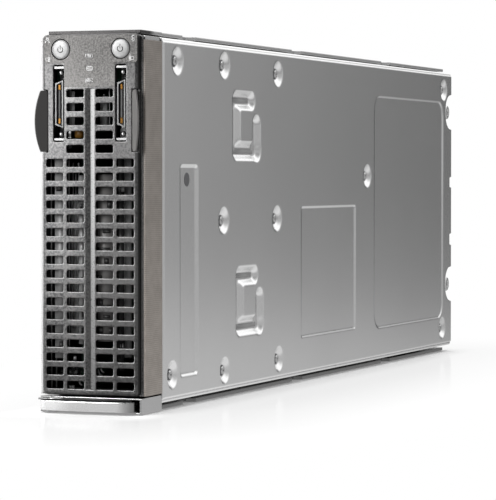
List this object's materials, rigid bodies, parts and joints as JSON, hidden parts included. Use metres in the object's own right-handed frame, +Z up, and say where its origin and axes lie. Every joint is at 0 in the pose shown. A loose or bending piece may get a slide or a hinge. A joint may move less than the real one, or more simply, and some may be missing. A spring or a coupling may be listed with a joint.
{
  "type": "blade workstation",
  "caption": "Upright double blade workstation with a slotted air grille, power buttons, cable ports, pull tabs, a swinging release lever and embossed sheet metal sides.",
  "frame": {"origin": "under the middle of the envelope, on the plane the lower guide rail stands on", "axes": "+Z up, -Y out of the grille, +X to the right when looking at the grille"},
  "size_m": [0.0556, 0.5088, 0.1817],
  "materials": {
    "zinc_sheet": "satin zinc plated sheet",
    "rail_steel": "plain steel strip",
    "bezel_graphite": "moulded graphite with fine metal flake",
    "control_graphite": "satin graphite overlay",
    "button_silver": "silver moulded plastic",
    "gasket_fabric": "woven conductive taupe cloth",
    "lever_chrome": "polished plating",
    "plated_fastener": "bright nickel",
    "black_plastic": "moulded black",
    "contact_gold": "gold flash",
    "tab_charcoal": "satin moulded charcoal",
    "light_guide": "frosted clear",
    "circuit_board": "solder mask",
    "fin_aluminium": "plain aluminium",
    "chip_lid": "nickel plated lid"
  },
  "bodies": {
    "chassis": {"bottom_guide_rail": "rail_steel", "chipset_heatsink_a": "fin_aluminium", "chipset_heatsink_b": "fin_aluminium", "control_board": "circuit_board", "control_plate": "control_graphite", "coupler_board": "circuit_board", "coupler_sockets": "black_plastic", "cpu_heatsink_a": "fin_aluminium", "cpu_heatsink_b": "fin_aluminium", "drive_a": "fin_aluminium", "drive_b": "fin_aluminium", "drive_bracket_a": "rail_steel", "drive_bracket_b": "rail_steel", "emi_gasket_left": "gasket_fabric", "emi_gasket_right": "gasket_fabric", "front_bezel": "bezel_graphite", "front_frame": "zinc_sheet", "graphics_card_a": "circuit_board", "graphics_card_b": "circuit_board", "graphics_heatsink_a": "fin_aluminium", "graphics_heatsink_b": "fin_aluminium", "jack_screws": "plated_fastener", "left_pan": "zinc_sheet", "lever_housing": "lever_chrome", "lever_pivot_pin": "plated_fastener", "light_pipes": "light_guide", "memory_modules_a": "circuit_board", "memory_modules_b": "circuit_board", "memory_sockets_a": "black_plastic", "memory_sockets_b": "black_plastic", "mezzanine_connectors": "black_plastic", "pan_screws": "plated_fastener", "port_bracket_a": "rail_steel", "port_bracket_b": "rail_steel", "port_contacts_a": "contact_gold", "port_contacts_b": "contact_gold", "port_insert_a": "black_plastic", "port_insert_b": "black_plastic", "port_shell_a": "plated_fastener", "port_shell_b": "plated_fastener", "power_connector": "black_plastic", "power_switches": "black_plastic", "processor_a": "chip_lid", "processor_b": "chip_lid", "rear_panel": "zinc_sheet", "rear_screws": "plated_fastener", "right_pan": "zinc_sheet", "signal_connector": "black_plastic", "standoffs": "plated_fastener", "system_board_a": "circuit_board", "system_board_b": "circuit_board", "top_guide_rail": "rail_steel"},
    "lever": {"release_lever": "lever_chrome"},
    "latch": {"release_button": "black_plastic"},
    "button_a": {"power_button_a": "button_silver"},
    "button_b": {"power_button_b": "button_silver"},
    "tab_a": {"label_tab_a": "tab_charcoal"},
    "tab_b": {"label_tab_b": "tab_charcoal"}
  },
  "joints": [
    {"name": "lever_swing", "type": "hinge", "parent": "chassis", "child": "lever", "pos_m": [-0.0204, -0.2474, 0.00355], "axis": [0, 0, -1], "range_deg": [0, 60]},
    {"name": "release_press", "type": "slide", "parent": "chassis", "child": "latch", "axis": [0, 1, 0], "range_m": [0, 0.0015], "stiffness_N_per_m": 1000, "springref_m": -0.0005},
    {"name": "power_press_a", "type": "slide", "parent": "chassis", "child": "button_a", "axis": [0, 1, 0], "range_m": [0, 0.0012], "stiffness_N_per_m": 1000, "springref_m": -0.0005},
    {"name": "power_press_b", "type": "slide", "parent": "chassis", "child": "button_b", "axis": [0, 1, 0], "range_m": [0, 0.0012], "stiffness_N_per_m": 1000, "springref_m": -0.0005},
    {"name": "tab_pull_a", "type": "slide", "parent": "chassis", "child": "tab_a", "axis": [0, -1, 0], "range_m": [0, 0.04]},
    {"name": "tab_pull_b", "type": "slide", "parent": "chassis", "child": "tab_b", "axis": [0, -1, 0], "range_m": [0, 0.04]}
  ]
}
